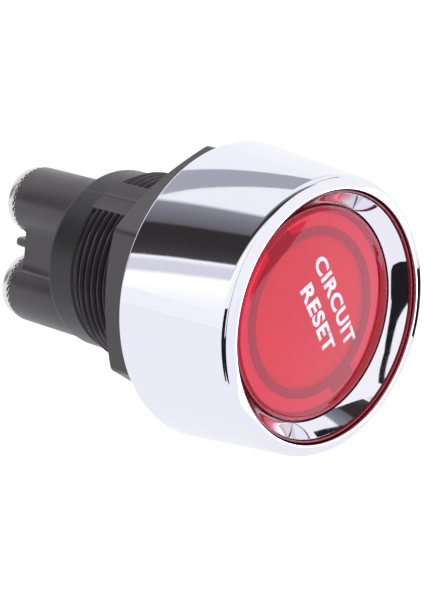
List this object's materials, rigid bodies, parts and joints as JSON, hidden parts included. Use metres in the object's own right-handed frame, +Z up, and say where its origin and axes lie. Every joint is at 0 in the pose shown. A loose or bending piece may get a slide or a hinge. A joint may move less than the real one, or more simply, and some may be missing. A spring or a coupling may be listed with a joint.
{
  "type": "illuminated push button switch",
  "caption": "Round momentary push button with a chromed conical bezel, a domed red lit lens, a threaded body with a hex panel nut, and screw terminals at the back.",
  "frame": {"origin": "on the button's axis, in the plane where the bezel's rear face rests on the panel", "axes": "the lens faces -Y and the terminals point along +Y; +Z is up, with the upper terminal on top; +X is to the right seen from the front"},
  "size_m": [0.0334, 0.0502, 0.0334],
  "materials": {
    "chrome": "bright chrome plating",
    "black_plastic": "satin moulded black",
    "stem_plastic": "satin moulded black",
    "gasket_rubber": "matt",
    "lens_red": "polished translucent red",
    "carrier_red": "moulded translucent dark red",
    "clip_red": "moulded dark red",
    "frosted": "frosted",
    "circuit_board": "solder mask",
    "led_body": "moulded white",
    "brass_parts": "drawn",
    "silver_contact": "fine silver",
    "copper_strip": "rolled copper",
    "spring_steel": "drawn wire",
    "zinc_steel": "zinc plated",
    "nickel_steel": "nickel plated"
  },
  "bodies": {
    "housing": {"bezel": "chrome", "threaded_body": "black_plastic", "panel_gasket": "gasket_rubber", "terminal_base": "black_plastic", "terminal_insert_upper": "brass_parts", "terminal_insert_lower": "brass_parts", "fixed_contact_upper": "silver_contact", "fixed_contact_lower": "silver_contact", "lamp_sleeve_left": "brass_parts", "lamp_sleeve_right": "brass_parts", "lamp_strap_left": "brass_parts", "lamp_strap_right": "brass_parts", "stem_seal": "gasket_rubber", "return_spring": "spring_steel"},
    "button": {"button_carrier": "carrier_red", "trim_ring": "chrome", "lens": "lens_red", "lens_clip": "clip_red", "diffuser": "frosted", "led_board": "circuit_board", "led_1": "led_body", "led_2": "led_body", "led_3": "led_body", "led_4": "led_body", "led_5": "led_body", "led_6": "led_body", "board_resistor": "stem_plastic", "lamp_pin_left": "brass_parts", "lamp_pin_right": "brass_parts", "plunger_stem": "stem_plastic", "stem_clip": "spring_steel", "stop_washer": "zinc_steel", "contact_spring": "spring_steel"},
    "moving_contacts": {"contact_bridge": "copper_strip", "moving_contact_upper": "silver_contact", "moving_contact_lower": "silver_contact"},
    "washer_of_nut": {"nut_washer": "zinc_steel"},
    "nut": {"panel_nut": "black_plastic"},
    "washer_upper": {"lock_washer_upper": "nickel_steel"},
    "screw_upper": {"terminal_screw_upper": "nickel_steel"},
    "washer_lower": {"lock_washer_lower": "nickel_steel"},
    "screw_lower": {"terminal_screw_lower": "nickel_steel"}
  },
  "joints": [
    {"name": "button_press", "type": "slide", "parent": "housing", "child": "button", "axis": [0, 1, 0], "range_m": [0, 0.0025], "stiffness_N_per_m": 1200, "springref_m": -0.003, "deforming": ["return_spring", "contact_spring"]},
    {"name": "contacts_close", "type": "slide", "parent": "housing", "child": "moving_contacts", "axis": [0, 1, 0], "range_m": [0, 0.002]},
    {"name": "nut_travel", "type": "slide", "parent": "housing", "child": "washer_of_nut", "axis": [0, 1, 0], "range_m": [0, 0.006]},
    {"name": "nut_turn", "type": "hinge", "parent": "washer_of_nut", "child": "nut", "pos_m": [0, 0.003, 0], "axis": [0, 1, 0], "range_deg": [0, 2160]},
    {"name": "screw_travel_upper", "type": "slide", "parent": "housing", "child": "washer_upper", "axis": [0, 1, 0], "range_m": [0, 0.0035]},
    {"name": "screw_turn_upper", "type": "hinge", "parent": "washer_upper", "child": "screw_upper", "pos_m": [0.00051, 0.0335, 0.00422], "axis": [0, 1, 0], "range_deg": [0, 1800]},
    {"name": "screw_travel_lower", "type": "slide", "parent": "housing", "child": "washer_lower", "axis": [0, 1, 0], "range_m": [0, 0.0035]},
    {"name": "screw_turn_lower", "type": "hinge", "parent": "washer_lower", "child": "screw_lower", "pos_m": [-0.00075, 0.0335, -0.0062], "axis": [0, 1, 0], "range_deg": [0, 1800]}
  ],
  "couplings": [
    {"joint": "contacts_close", "follows": "button_press", "ratio": 0.8},
    {"joint": "nut_turn", "follows": "nut_travel", "rad_per_m": 6283.2},
    {"joint": "screw_turn_upper", "follows": "screw_travel_upper", "rad_per_m": 8976},
    {"joint": "screw_turn_lower", "follows": "screw_travel_lower", "rad_per_m": 8976}
  ]
}
